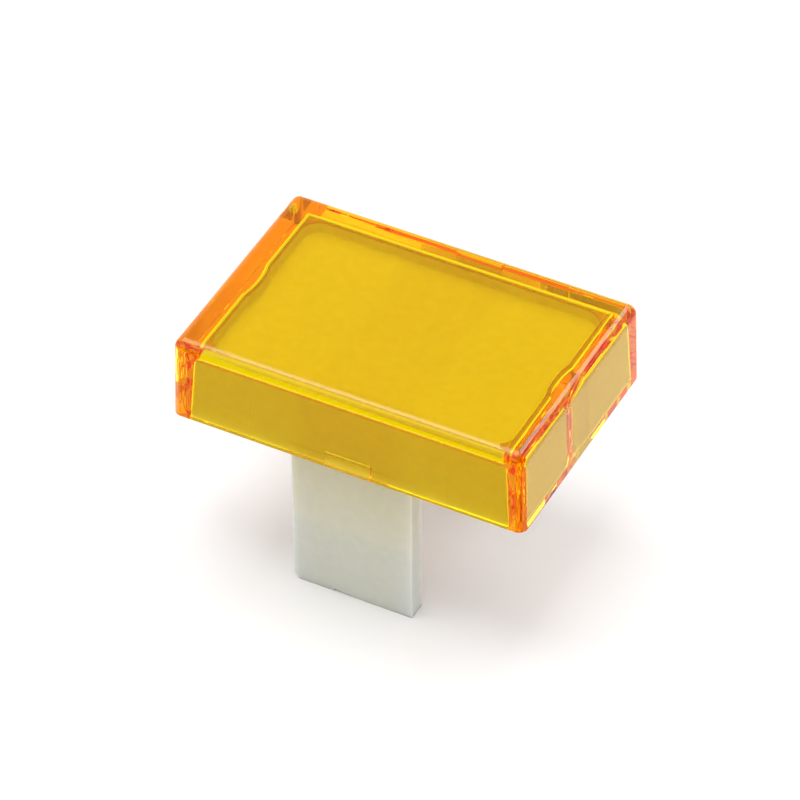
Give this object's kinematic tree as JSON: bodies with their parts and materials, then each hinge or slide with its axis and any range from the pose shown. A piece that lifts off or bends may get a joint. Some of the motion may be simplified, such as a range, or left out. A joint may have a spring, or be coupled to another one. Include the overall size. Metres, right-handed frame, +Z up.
{
  "type": "illuminated pushbutton cap",
  "caption": "Rectangular pushbutton-switch cap: clear amber lens slipped over a white diffuser with flat legs that plug into the switch.",
  "frame": {"origin": "under the middle of the cap, level with the leg tips", "axes": "+Z up through the pressed face, X along the cap's long side, Y across it; the front leg is on the -Y side"},
  "size_m": [0.0242, 0.0164, 0.0171],
  "materials": {
    "amber_lens": "polished transparent amber plastic",
    "white_diffuser": "milky translucent moulded plastic"
  },
  "bodies": {
    "carrier": {"diffuser": "white_diffuser"},
    "cover": {"lens": "amber_lens"}
  },
  "joints": [
    {"name": "lens_pull", "type": "slide", "parent": "carrier", "child": "cover", "axis": [0, 0, 1], "range_m": [0, 0.006]}
  ]
}
